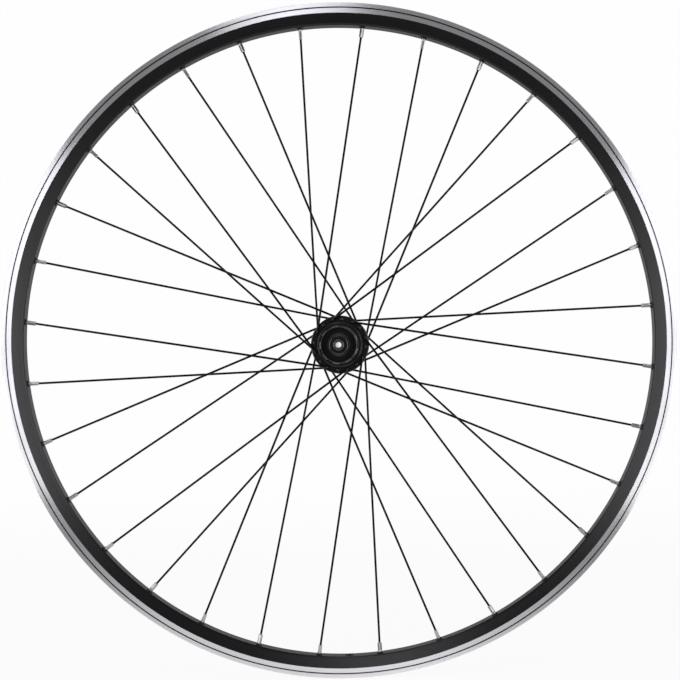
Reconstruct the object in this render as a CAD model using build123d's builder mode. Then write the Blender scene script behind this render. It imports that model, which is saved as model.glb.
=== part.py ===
from build123d import *
import os
from math import cos, hypot, radians, sin

# Rear bicycle wheel for rim brakes, in millimetres. The origin is the middle of the axle in the rim's
# mid-plane. +Y runs along the axle to the left side, +Z is up, and the drive side faces -Y.

# Rim section
rim_outer_radius = 317.0
rim_depth = 19.6
rim_width = 24.0
rim_edge_chamfer = 0.6
tyre_opening = 19.0
hook_height = 2.6
hook_undercut = 0.7
bead_seat_depth = 6.0
bead_seat_fall = 0.4
bead_seat_width = 3.2
well_depth = 8.6
well_width = 8.6
bridge_wall = 1.3
bed_wall = 2.0
bed_width = 11.6
bed_chamfer = 1.4
side_wall = 1.5

# Brake track
track_height = 9.6
track_relief = 0.2
wear_line_drop = 4.6
wear_line_width = 1.2
wear_line_depth = 0.4

# Lacing
spoke_sets = 8
crosses = 3
valve_angle = 270.0
valve_hole_radius = 4.25
access_hole_radius = 4.5
wire_diameter = 2.0
wire_sides = 8
wire_crossing_gap = 0.1
wire_kink_radius = 60.0
elbow_rise = 2.4
elbow_radius = 2.1
spoke_head_radius = 1.8
spoke_head_height = 1.5
spoke_head_taper = 12.0
spoke_hole_clearance = 0.3

# Nipples and eyelets
nipple_projection = 9.8
nipple_flat_width = 3.3
nipple_flat_chamfer = 0.7
nipple_flat_length = 7.0
nipple_shank_radius = 2.0
nipple_head_radius = 3.0
nipple_head_height = 2.2
nipple_sides = 8
nipple_swivel = 0.6
nipple_seat_gap = 0.5
thread_length = 9.5
thread_gap = 0.06
thread_end_gap = 0.3
eyelet_radius = 3.6
eyelet_height = 1.2
eyelet_taper = 28.0
eyelet_seat_gap = 0.06

# Fits
press_gap = 0.02
running_gap = 0.1
free_gap = 0.4

# Axle and its bearings
axle_radius = 6.0
axle_shoulder = 1.5
axle_end_inset = 1.0
skewer_bore_radius = 2.6
hub_ring_inner_wall = 2.5
hub_ball_space = 3.1
hub_ring_outer_wall = 2.4
hub_bearing_width = 8.0
freehub_ring_inner_wall = 1.5
freehub_ball_space = 2.9
freehub_ring_outer_wall = 1.6
freehub_bearing_width = 6.0
seal_thickness = 0.8
seal_recess = 0.3
spacer_wall = 1.4

# End caps
cap_neck_wall = 1.2
cap_face_wall = 2.6
cap_skirt_wall = 4.5
cap_skirt_length = 3.0
cap_chamfer = 0.6
dropout_stub_radius = 4.95
dropout_stub_length = 5.0
dropout_gap = 3.7

# Hub shell
right_flange_offset = 19.5
left_flange_offset = 35.5
flange_thickness = 3.2
flange_edge_margin = 3.6
flange_edge_chamfer = 0.8
collar_length = 6.5
shell_edge_chamfer = 0.6
collar_wall = 3.0
collar_spoke_gap = 2.7
bearing_inset = 1.1
bearing_shoulder = 2.5
barrel_wall = 3.5
barrel_flare_length = 14.0
boss_wall = 3.5
boss_length = 8.4
dust_cap_thickness = 1.2

# Freehub and its ratchet
carrier_bore_gap = 1.6
carrier_wall = 5.4
ratchet_teeth = 24
ratchet_tip_gap = 0.5
ratchet_tooth_height = 1.3
ratchet_ring_wall = 1.6
ratchet_end_gap = 0.8
pawl_count = 3
pawl_pivot_radius = 1.6
pawl_pivot_depth = 2.3
pawl_arm_length = 8.0
pawl_width = 5.2
pawl_gap = 0.1
spring_groove_depth = 1.2
spring_thickness = 0.6
spring_width = 1.0
spring_opening_angle = 30.0
stop_lip_thickness = 1.8
stop_lip_height = 2.5
spline_length = 34.0
spline_height = 1.2
spline_count = 9
spline_width = 5.6
spline_wide_extra = 2.4
spline_chamfer = 0.7
mouth_depth = 7.0
mouth_wall = 3.2
mouth_chamfer = 0.5
thread_wall = 0.9

# Rim radii and half widths
rim_half = rim_width / 2
bed_radius = rim_outer_radius - rim_depth
bed_half = bed_width / 2
cavity_bottom = bed_radius + bed_wall
track_foot = rim_outer_radius - track_height
track_face = rim_half - track_relief
wear_line_radius = rim_outer_radius - wear_line_drop
wear_line_half = wear_line_width / 2
hook_face = tyre_opening / 2
hook_foot = rim_outer_radius - hook_height
bead_wall_face = hook_face + hook_undercut
bead_seat_radius = rim_outer_radius - bead_seat_depth
bead_seat_edge = bead_wall_face - bead_seat_width
well_radius = rim_outer_radius - well_depth
cavity_top = well_radius - bridge_wall
cavity_shelf = bead_seat_radius - bead_seat_fall - bridge_wall
side_slope = (rim_half - bed_half - bed_chamfer) / (track_foot - bed_radius - bed_chamfer)
cavity_half = rim_half - (track_foot - cavity_bottom) * side_slope - side_wall * hypot(1, side_slope)

# Bearing radii, from the axle outwards
bearing_bore = axle_radius + press_gap
hub_inner_ring = axle_radius + hub_ring_inner_wall
hub_outer_ring = hub_inner_ring + hub_ball_space
hub_bearing_radius = hub_outer_ring + hub_ring_outer_wall
freehub_inner_ring = axle_radius + freehub_ring_inner_wall
freehub_outer_ring = freehub_inner_ring + freehub_ball_space
freehub_bearing_radius = freehub_outer_ring + freehub_ring_outer_wall
spacer_radius = axle_radius + spacer_wall

# Freehub and ratchet radii
carrier_bore = spacer_radius + carrier_bore_gap
carrier_radius = carrier_bore + carrier_wall
ratchet_tip = carrier_radius + ratchet_tip_gap
ratchet_root = ratchet_tip + ratchet_tooth_height
ratchet_radius = ratchet_root + ratchet_ring_wall
mouth_radius = freehub_bearing_radius + mouth_wall
spline_floor = mouth_radius + thread_wall
spline_land = spline_floor + spline_height
stop_lip_radius = spline_land + stop_lip_height

# Hub shell radii
collar_radius = ratchet_radius + press_gap + collar_wall
hole_circle_radius = collar_radius + collar_spoke_gap
flange_radius = hole_circle_radius + flange_edge_margin
shell_bore = hub_bearing_radius - bearing_shoulder
barrel_radius = shell_bore + barrel_wall
boss_radius = hub_bearing_radius + press_gap + boss_wall

# Places along the axle, drive side first
flange_half = flange_thickness / 2
right_flange_face = -right_flange_offset - flange_half
collar_end = right_flange_face - collar_length
right_bearing_face = right_flange_face + bearing_inset
right_bearing_back = right_bearing_face + hub_bearing_width
ratchet_end = collar_end + ratchet_end_gap
stop_lip_face = collar_end - free_gap
spline_start = stop_lip_face - stop_lip_thickness
freehub_end = spline_start - spline_length
mouth_floor = freehub_end + mouth_depth
inner_bearing_end = spline_start - freehub_bearing_width
outer_bearing_start = mouth_floor + freehub_bearing_width
dropout_face = freehub_end - dropout_gap
left_flange_face = left_flange_offset + flange_half
boss_end = left_flange_face + boss_length
left_bearing_face = boss_end - dust_cap_thickness - seal_recess
left_bearing_back = left_bearing_face - hub_bearing_width
left_dropout_face = -dropout_face
axle_end = left_dropout_face - axle_end_inset
stub_end = left_dropout_face + dropout_stub_length

# Lacing angles, in degrees from +X towards +Z
spoke_count = 4 * spoke_sets
rim_pitch = 360 / spoke_count
lacing_angle = crosses * 2 * rim_pitch
wire_radius = wire_diameter / 2
spoke_hole_radius = wire_radius + spoke_hole_clearance
nipple_hole_radius = nipple_shank_radius + nipple_swivel
nipple_pivot_radius = bed_radius + bed_wall / 2

# The lacing repeats over four spokes: flange side (-1 drive, 1 left), lean (1 pulls the wheel round,
# -1 the other way), and whether the spoke leaves on the flange's outer face.
lacing = ((1, 1, True), (-1, -1, False), (1, -1, False), (-1, 1, True))
spoke_angles = [valve_angle + (i + 0.5) * rim_pitch for i in range(spoke_count)]


def at(radius, angle, along=0.0):
    """Return the point at a radius and an angle round the axle, and a distance along it."""
    return Vector(radius * cos(radians(angle)), along, radius * sin(radians(angle)))


def section(*outline):
    """Return a face with straight edges through (radius, axial) points, for turning about the axle."""
    with BuildSketch() as sketch:
        with BuildLine():
            Polyline(*outline, close=True)
        make_face()
    return sketch.sketch


def ring(inner, outer, start, end):
    """Return the section of a plain ring between two radii and two places along the axle."""
    return section((inner, start), (outer, start), (outer, end), (inner, end))


def radial_plane(angle, radius):
    """Return a plane whose normal points outwards along a spoke hole."""
    return Plane(origin=at(radius, angle), x_dir=(0, 1, 0), z_dir=at(1, angle))


def save(piece, name):
    """Label a finished piece and write it as one STEP file."""
    piece.part.label = name
    export_step(piece.part, f"parts/{name}.step")


os.makedirs("parts", exist_ok=True)

# Rim: a hollow hooked section turned about the axle, pierced for nipples, their heads and the valve
with BuildPart() as rim:
    with BuildSketch():
        with BuildLine():
            Polyline(
                (bed_radius, 0),
                (bed_radius, bed_half),
                (bed_radius + bed_chamfer, bed_half + bed_chamfer),
                (track_foot, rim_half),
                (track_foot, track_face),
                (wear_line_radius - wear_line_half, track_face),
                (wear_line_radius, track_face - wear_line_depth),
                (wear_line_radius + wear_line_half, track_face),
                (rim_outer_radius - rim_edge_chamfer, track_face),
                (rim_outer_radius, track_face - rim_edge_chamfer),
                (rim_outer_radius, hook_face),
                (hook_foot, hook_face),
                (bead_seat_radius, bead_wall_face),
                (bead_seat_radius - bead_seat_fall, bead_seat_edge),
                (well_radius, well_width / 2),
                (well_radius, 0),
            )
            mirror(about=Plane.XZ)
        make_face()
        with BuildLine():
            Polyline(
                (cavity_bottom, 0),
                (cavity_bottom, cavity_half),
                (cavity_shelf, track_face - side_wall),
                (cavity_shelf, bead_seat_edge),
                (cavity_top, well_width / 2),
                (cavity_top, 0),
            )
            mirror(about=Plane.XZ)
        make_face(mode=Mode.SUBTRACT)
    revolve(axis=Axis.Y)
    with Locations(*[radial_plane(angle, bed_radius + bed_wall / 2) for angle in spoke_angles]):
        Cylinder(nipple_hole_radius, 2 * bed_wall, mode=Mode.SUBTRACT)
    with Locations(*[radial_plane(angle, bead_seat_radius) for angle in spoke_angles]):
        Cylinder(access_hole_radius, 2 * (bead_seat_radius - cavity_top) - bridge_wall, mode=Mode.SUBTRACT)
    with Locations(radial_plane(valve_angle, bed_radius)):
        Cylinder(valve_hole_radius, 2 * rim_depth, mode=Mode.SUBTRACT)
save(rim, "rim")

# Eyelets: flared ferrules round the nipple holes
eyelet_seats = [radial_plane(angle + 180, eyelet_seat_gap - bed_radius) for angle in spoke_angles]
with BuildPart() as eyelets:
    with BuildSketch(*eyelet_seats):
        RegularPolygon(eyelet_radius, nipple_sides)
    extrude(amount=eyelet_height, taper=eyelet_taper)
    with BuildSketch(*eyelet_seats):
        RegularPolygon(nipple_hole_radius, nipple_sides)
    extrude(amount=eyelet_height, mode=Mode.SUBTRACT)
save(eyelets, "eyelets")


def spoke_route(side, lean, outside):
    """Return the bends of a spoke whose rim hole lies at angle 0, and the axial sign of its elbow.

    The bends are the head's seat, the elbow, the outermost crossing and the nipple's pivot. They lie
    in one plane, because the crossing only pushes the spoke along the axle.
    """
    hub = at(hole_circle_radius, lean * lacing_angle)
    run = at(nipple_pivot_radius, 0) - hub
    across = at(1, lean * rim_pitch).cross(Vector(0, 1, 0))
    reach = -hub.dot(across) / run.dot(across)
    flange = -right_flange_offset if side < 0 else left_flange_offset
    out = side if outside else -side
    seat = hub + Vector(0, flange - out * flange_half, 0)
    elbow = hub + Vector(0, flange + out * (flange_half + elbow_rise), 0)
    passing = flange * (1 - reach) - out * (wire_diameter + wire_crossing_gap) / 2
    crossing = hub + run * reach + Vector(0, passing, 0)
    return (seat, elbow, crossing, hub + run), out


# Nipples: square-flanked shanks with round heads, each in line with its spoke
nipple_inner_end = -nipple_projection - bed_wall / 2
nipple_seat = bed_wall / 2 + nipple_seat_gap
nipple_forms = []
for kind in lacing:
    bends, out = spoke_route(*kind)
    crossing, pivot = bends[2:]
    axis = Plane(origin=pivot, x_dir=(pivot - crossing).cross(Vector(0, 1, 0)), z_dir=pivot - crossing)
    with BuildPart() as nipple:
        with BuildSketch(axis.offset(nipple_inner_end)) as flats:
            Rectangle(nipple_flat_width, nipple_flat_width)
            chamfer(flats.vertices(), nipple_flat_chamfer)
        extrude(amount=nipple_flat_length)
        with BuildSketch(axis.offset(nipple_inner_end + nipple_flat_length)):
            RegularPolygon(nipple_shank_radius, nipple_sides, rotation=180 / nipple_sides)
        extrude(amount=nipple_seat - nipple_inner_end - nipple_flat_length)
        with BuildSketch(axis.offset(nipple_seat)):
            RegularPolygon(nipple_head_radius, nipple_sides, rotation=180 / nipple_sides)
        extrude(amount=nipple_head_height)
        with BuildSketch(axis.offset(nipple_inner_end)):
            RegularPolygon(wire_radius + thread_gap, wire_sides, rotation=180 / wire_sides)
        extrude(amount=thread_length + thread_end_gap, mode=Mode.SUBTRACT)
    nipple_forms.append(nipple.part)

with BuildPart() as nipples:
    add([nipple_forms[i % len(lacing)].rotate(Axis.Y, -angle) for i, angle in enumerate(spoke_angles)])
save(nipples, "nipples")

# Spokes: headed wire with a J-bend at the flange, a slight kink where it passes its crossing partner,
# and a threaded end inside the nipple
spoke_forms = []
for kind in lacing:
    (seat, elbow, crossing, pivot), out = spoke_route(*kind)
    thread_end = pivot + (pivot - crossing).normalized() * (nipple_inner_end + thread_length)
    head_plane = Plane(origin=seat, x_dir=pivot - seat.project_to_plane(Plane.XZ), z_dir=(0, out, 0))
    with BuildPart() as wire:
        with BuildLine() as route:
            FilletPolyline(seat, elbow, crossing, thread_end, radius=(elbow_radius, wire_kink_radius))
        with BuildSketch(head_plane):
            RegularPolygon(wire_radius, wire_sides, rotation=180 / wire_sides)
        sweep(path=route.wire())
        with BuildSketch(head_plane):
            RegularPolygon(spoke_head_radius, wire_sides, rotation=180 / wire_sides)
        extrude(amount=-spoke_head_height, taper=spoke_head_taper)
    spoke_forms.append(wire.part)

for i, angle in enumerate(spoke_angles):
    with BuildPart() as spoke:
        add(spoke_forms[i % len(lacing)].rotate(Axis.Y, -angle))
    save(spoke, f"spoke_{i + 1:02d}")

# Hub shell: turned barrel with two drilled flanges, bearing seats and the ratchet's collar
with BuildPart() as hub_shell:
    flare_radius = hub_bearing_radius + boss_wall
    right_flange_back = -right_flange_offset + flange_half
    left_flange_back = left_flange_offset - flange_half
    revolve(
        section(
            (collar_radius - shell_edge_chamfer, collar_end),
            (collar_radius, collar_end + shell_edge_chamfer),
            (collar_radius, right_flange_face),
            (flange_radius - flange_edge_chamfer, right_flange_face),
            (flange_radius, right_flange_face + flange_edge_chamfer),
            (flange_radius, right_flange_back - flange_edge_chamfer),
            (flange_radius - flange_edge_chamfer, right_flange_back),
            (flare_radius, right_flange_back),
            (barrel_radius, right_flange_back + barrel_flare_length),
            (barrel_radius, left_flange_back - barrel_flare_length),
            (flare_radius, left_flange_back),
            (flange_radius - flange_edge_chamfer, left_flange_back),
            (flange_radius, left_flange_back + flange_edge_chamfer),
            (flange_radius, left_flange_face - flange_edge_chamfer),
            (flange_radius - flange_edge_chamfer, left_flange_face),
            (boss_radius, left_flange_face),
            (boss_radius, boss_end - shell_edge_chamfer),
            (boss_radius - shell_edge_chamfer, boss_end),
            (hub_bearing_radius + press_gap, boss_end),
            (hub_bearing_radius + press_gap, left_bearing_back),
            (shell_bore, left_bearing_back),
            (shell_bore, right_bearing_back),
            (hub_bearing_radius + press_gap, right_bearing_back),
            (hub_bearing_radius + press_gap, right_bearing_face),
            (ratchet_radius + press_gap, right_bearing_face),
            (ratchet_radius + press_gap, collar_end),
        ),
        axis=Axis.Y,
    )
    holes = []
    for i, angle in enumerate(spoke_angles):
        side, lean, outside = lacing[i % len(lacing)]
        flange = -right_flange_offset if side < 0 else left_flange_offset
        hole = at(hole_circle_radius, angle + lean * lacing_angle, flange)
        holes.append(Plane(origin=hole, z_dir=(0, 1, 0)))
    with Locations(*holes):
        Cylinder(spoke_hole_radius, 2 * flange_thickness, mode=Mode.SUBTRACT)
save(hub_shell, "hub_shell")

# Axle: hollow shaft with a thicker middle that keeps the hub bearings apart
with BuildPart() as axle:
    revolve(
        section(
            (skewer_bore_radius, -axle_end),
            (axle_radius, -axle_end),
            (axle_radius, right_bearing_back),
            (axle_radius + axle_shoulder, right_bearing_back),
            (axle_radius + axle_shoulder, left_bearing_back),
            (axle_radius, left_bearing_back),
            (axle_radius, axle_end),
            (skewer_bore_radius, axle_end),
        ),
        axis=Axis.Y,
    )
save(axle, "axle")

# Sealed bearings: an inner ring on the axle, and an outer ring that carries both seals
hub_radii = (hub_inner_ring, hub_outer_ring, hub_bearing_radius)
freehub_radii = (freehub_inner_ring, freehub_outer_ring, freehub_bearing_radius)
bearings = {
    "left_bearing": (hub_radii, left_bearing_back, left_bearing_face),
    "right_bearing": (hub_radii, right_bearing_face, right_bearing_back),
    "freehub_inner_bearing": (freehub_radii, inner_bearing_end, spline_start),
    "freehub_outer_bearing": (freehub_radii, mouth_floor, outer_bearing_start),
}
for name, ((inner_ring, outer_ring, bearing_radius), start, end) in bearings.items():
    with BuildPart() as inner_race:
        revolve(ring(bearing_bore, inner_ring, start, end), axis=Axis.Y)
    save(inner_race, f"{name}_inner_ring")
    with BuildPart() as outer_race:
        revolve(ring(outer_ring, bearing_radius, start, end), axis=Axis.Y)
        for seal in (start + seal_recess, end - seal_recess - seal_thickness):
            revolve(ring(inner_ring + running_gap, outer_ring, seal, seal + seal_thickness), axis=Axis.Y)
    save(outer_race, f"{name}_outer_ring")

# Spacers: sleeves on the axle that keep the inner rings apart
with BuildPart() as hub_spacer:
    revolve(ring(bearing_bore, spacer_radius, spline_start, right_bearing_face), axis=Axis.Y)
save(hub_spacer, "hub_spacer")

with BuildPart() as freehub_spacer:
    revolve(ring(bearing_bore, spacer_radius, outer_bearing_start, inner_bearing_end), axis=Axis.Y)
save(freehub_spacer, "freehub_spacer")

# End caps: dropout faces with stubs, pushed over the axle ends
cap_neck = axle_radius + cap_neck_wall
cap_face = axle_radius + cap_face_wall
with BuildPart() as right_end_cap:
    revolve(
        section(
            (bearing_bore, mouth_floor),
            (cap_neck, mouth_floor),
            (cap_neck, mouth_floor - cap_skirt_length),
            (cap_face, mouth_floor - cap_skirt_length - cap_chamfer),
            (cap_face, dropout_face + cap_chamfer),
            (cap_face - cap_chamfer, dropout_face),
            (dropout_stub_radius, dropout_face),
            (dropout_stub_radius, -stub_end + cap_chamfer),
            (dropout_stub_radius - cap_chamfer, -stub_end),
            (skewer_bore_radius, -stub_end),
            (skewer_bore_radius, -axle_end),
            (bearing_bore, -axle_end),
        ),
        axis=Axis.Y,
    )
save(right_end_cap, "right_end_cap")

with BuildPart() as left_end_cap:
    cap_skirt = axle_radius + cap_skirt_wall
    skirt_start = boss_end + free_gap
    revolve(
        section(
            (bearing_bore, left_bearing_face),
            (cap_neck, left_bearing_face),
            (cap_neck, skirt_start),
            (cap_skirt, skirt_start),
            (cap_skirt, skirt_start + cap_skirt_length),
            (cap_face, skirt_start + 2 * cap_skirt_length),
            (cap_face, left_dropout_face - cap_chamfer),
            (cap_face - cap_chamfer, left_dropout_face),
            (dropout_stub_radius, left_dropout_face),
            (dropout_stub_radius, stub_end - cap_chamfer),
            (dropout_stub_radius - cap_chamfer, stub_end),
            (skewer_bore_radius, stub_end),
            (skewer_bore_radius, axle_end),
            (bearing_bore, axle_end),
        ),
        axis=Axis.Y,
    )
save(left_end_cap, "left_end_cap")

# Left dust cap: pressed into the shell's mouth over the bearing
with BuildPart() as left_dust_cap:
    revolve(
        ring(cap_neck + free_gap, hub_bearing_radius, boss_end - dust_cap_thickness, boss_end),
        axis=Axis.Y,
    )
save(left_dust_cap, "left_dust_cap")

# Ratchet ring: saw teeth inside a steel ring pressed into the shell's collar
tooth_pitch = 360 / ratchet_teeth
with BuildPart() as ratchet_ring:
    with BuildSketch(Plane.XZ.offset(-right_bearing_face)):
        Circle(ratchet_radius)
        with BuildLine():
            teeth = []
            for tooth in range(ratchet_teeth):
                for radius in (ratchet_tip, ratchet_root):
                    turn = radians(tooth * tooth_pitch)
                    teeth.append((radius * cos(turn), radius * sin(turn)))
            Polyline(*teeth, close=True)
        make_face(mode=Mode.SUBTRACT)
    extrude(amount=right_bearing_face - ratchet_end)
save(ratchet_ring, "ratchet_ring")

# Freehub body: pawl carrier, stop lip, splined barrel and the open mouth for the lockring
carrier_end = right_bearing_face - ratchet_end_gap
carrier_middle = (carrier_end + ratchet_end) / 2
pawl_pivot = carrier_radius - pawl_pivot_depth
groove_floor = carrier_radius - spring_groove_depth
groove_half = spring_width / 2 + pawl_gap
spring_groove = ring(
    groove_floor, carrier_radius + free_gap, carrier_middle - groove_half, carrier_middle + groove_half
)


def pawl_sketch(gap):
    """Return the outline of a pawl lying folded in its pocket, grown by a gap."""
    with BuildSketch() as outline:
        with Locations((pawl_pivot, 0)):
            Circle(pawl_pivot_radius + gap)
        with Locations((pawl_pivot, pawl_arm_length / 2)):
            Rectangle(2 * (pawl_pivot_radius + gap), pawl_arm_length + 2 * gap)
    return outline.sketch


with BuildPart() as freehub_body:
    revolve(
        section(
            (carrier_bore, carrier_end),
            (carrier_radius, carrier_end),
            (carrier_radius, stop_lip_face),
            (stop_lip_radius, stop_lip_face),
            (stop_lip_radius, spline_start),
            (spline_floor, spline_start),
            (spline_floor, freehub_end),
            (mouth_radius + mouth_chamfer, freehub_end),
            (mouth_radius, freehub_end + mouth_chamfer),
            (mouth_radius, mouth_floor),
            (freehub_bearing_radius + press_gap, mouth_floor),
            (freehub_bearing_radius + press_gap, spline_start),
            (carrier_bore, spline_start),
        ),
        axis=Axis.Y,
    )
    with BuildSketch(Plane.XZ.offset(-spline_start)):
        Circle(spline_land)
        Circle(spline_floor, mode=Mode.SUBTRACT)
        for spline in range(spline_count):
            width = spline_width + (spline_wide_extra if spline == 0 else 0)
            with Locations(Rotation(0, 0, spline * 360 / spline_count)):
                with Locations((spline_land / 2, 0)):
                    Rectangle(spline_land, width, mode=Mode.SUBTRACT)
    extrude(amount=spline_length)
    mouth_edges = freehub_body.faces().group_by(Axis.Y)[0].edges().filter_by(GeomType.CIRCLE)
    chamfer(mouth_edges.group_by(SortBy.RADIUS)[-1], spline_chamfer)
    revolve(spring_groove, axis=Axis.Y, mode=Mode.SUBTRACT)
    with BuildSketch(Plane.XZ.offset(-carrier_middle)):
        for pawl in range(pawl_count):
            add(pawl_sketch(pawl_gap).rotate(Axis.Z, pawl * 360 / pawl_count))
    extrude(amount=pawl_width / 2 + pawl_gap, both=True, mode=Mode.SUBTRACT)
save(freehub_body, "freehub_body")

# Pawls: folded flat in the carrier's pockets, as they lie when a tooth passes over them
with BuildPart() as pawls:
    with BuildSketch(Plane.XZ.offset(-carrier_middle)):
        for pawl in range(pawl_count):
            add(pawl_sketch(0).rotate(Axis.Z, pawl * 360 / pawl_count))
        Circle(carrier_radius, mode=Mode.INTERSECT)
    extrude(amount=pawl_width / 2, both=True)
    revolve(spring_groove, axis=Axis.Y, mode=Mode.SUBTRACT)
save(pawls, "pawls")

# Pawl spring: an open ring in the groove round the carrier and the pawls
with BuildPart() as pawl_spring:
    spring_inner = groove_floor + pawl_gap
    spring_end = carrier_middle + spring_width / 2
    revolve(
        ring(spring_inner, spring_inner + spring_thickness, spring_end - spring_width, spring_end),
        axis=Axis.Y,
        revolution_arc=360 - spring_opening_angle,
    )
save(pawl_spring, "pawl_spring")

# Freehub seal: a rubber washer against the stop lip that closes the collar's mouth
with BuildPart() as freehub_seal:
    seal_bore = carrier_radius + press_gap
    seal_rim = ratchet_radius - free_gap
    revolve(ring(seal_bore, seal_rim, stop_lip_face, stop_lip_face + seal_thickness), axis=Axis.Y)
save(freehub_seal, "freehub_seal")
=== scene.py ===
"""Rear bicycle wheel for rim brakes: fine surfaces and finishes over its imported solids."""

import logging
from dataclasses import dataclass, field
from enum import Enum, IntEnum
from typing import Callable, Sequence

import bmesh
import bpy
import numpy as np
from mathutils import Matrix, Vector


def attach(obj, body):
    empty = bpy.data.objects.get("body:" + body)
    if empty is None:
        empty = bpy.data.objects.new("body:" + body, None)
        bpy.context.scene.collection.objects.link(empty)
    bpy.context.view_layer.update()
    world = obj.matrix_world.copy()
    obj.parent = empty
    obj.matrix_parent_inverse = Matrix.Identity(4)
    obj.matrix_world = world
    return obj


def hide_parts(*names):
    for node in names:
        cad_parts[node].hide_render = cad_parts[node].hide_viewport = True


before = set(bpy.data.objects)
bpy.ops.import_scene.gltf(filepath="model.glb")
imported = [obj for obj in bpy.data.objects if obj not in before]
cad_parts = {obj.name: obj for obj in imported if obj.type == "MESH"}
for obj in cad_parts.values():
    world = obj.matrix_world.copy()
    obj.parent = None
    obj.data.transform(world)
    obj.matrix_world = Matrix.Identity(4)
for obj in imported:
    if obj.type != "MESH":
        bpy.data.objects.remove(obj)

LOG = logging.getLogger("wheel")
MM = 0.001
AXLE_LINE = np.array([0.0, 1.0, 0.0])
# Points closer than this are welded, and thinner faces are dissolved.
WELD_MM, SLIVER_MM = 0.002, 0.0005
# The largest share of an edge that a rounded corner takes, and how far out its holding points stand.
EDGE_SHARE, HOLD = 0.42, 1.12
# Size and share of the clouds in every finish, and the span of clouds and grain that sets its roughness.
CLOUD_MM, CLOUD_SHARE, BLEND_SPAN = 40.0, 0.35, (0.3, 1.0)
# Turn of a stretched highlight against the rings of the grain, as a share of a full turn.
HIGHLIGHT_TURN = 0.25
UNIT = (0.0, 1.0)

Span = tuple[float, float]
Tint = tuple[float, float, float]
Outline = Sequence[Span]
SpokeKind = tuple[int, int, bool]
Socket = bpy.types.NodeSocket
Value = float | Sequence[float] | Socket
Inputs = dict[str | int, Value]


class Grain(Enum):
    """The way the fine marks of a finish run."""

    SPECKLED = "the same all ways, as on a coating"
    TURNED = "in rings round the axle, as a lathe tool leaves them"


class Body(Enum):
    """The three bodies that turn on each other."""

    AXLE = "axle_set"
    WHEEL = "wheel"
    FREEHUB = "freehub"


class RimPart(IntEnum):
    """The parts of the rim with a finish of their own, in the order of its finishes."""

    WALL = 0
    TRACK = 1
    BED = 2
    VALVE_HOLE = 3


class Graph:
    """The shader nodes of one material or world."""

    def __init__(self, owner: bpy.types.Material | bpy.types.World) -> None:
        """Switch the owner's nodes on and keep them."""
        owner.use_nodes = True
        self.nodes, self.links = owner.node_tree.nodes, owner.node_tree.links

    def fill(self, node: bpy.types.Node, inputs: Inputs) -> None:
        """Set or link some of a node's inputs.

        Args:
            node: The node.
            inputs: A constant, or the socket that feeds it, for the name or number of each input.
        """
        for key, value in inputs.items():
            if isinstance(value, Socket):
                self.links.new(value, node.inputs[key])
            else:
                node.inputs[key].default_value = value

    def add(self, kind: str, inputs: Inputs | None = None, **settings: str) -> bpy.types.Node:
        """Add a node.

        Args:
            kind: The end of its type's name.
            inputs: As for fill.
            settings: Its options, which are set first.

        Returns:
            The new node.
        """
        node = self.nodes.new("ShaderNode" + kind)
        for name, value in settings.items():
            setattr(node, name, value)
        self.fill(node, inputs or {})
        return node

    def joined(self, operation: str, *values: Value) -> Socket:
        """Return the result of a sum on some values, such as the larger of two."""
        return self.add("Math", dict(enumerate(values)), operation=operation).outputs[0]

    def spread(self, value: Value, source: Span, target: Span, curve: str = "LINEAR") -> Socket:
        """Return a value carried from one span to another, and held past its ends."""
        ends = dict(zip(("From Min", "From Max", "To Min", "To Max"), (*source, *target)))
        return self.add("MapRange", {"Value": value, **ends}, interpolation_type=curve).outputs["Result"]

    def faded(self, place: Value, span: Span, shades: Span) -> Socket:
        """Return a shade that changes smoothly over a span of places, given in millimetres."""
        return self.spread(place, np.multiply(span, MM), shades, "SMOOTHSTEP")


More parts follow.
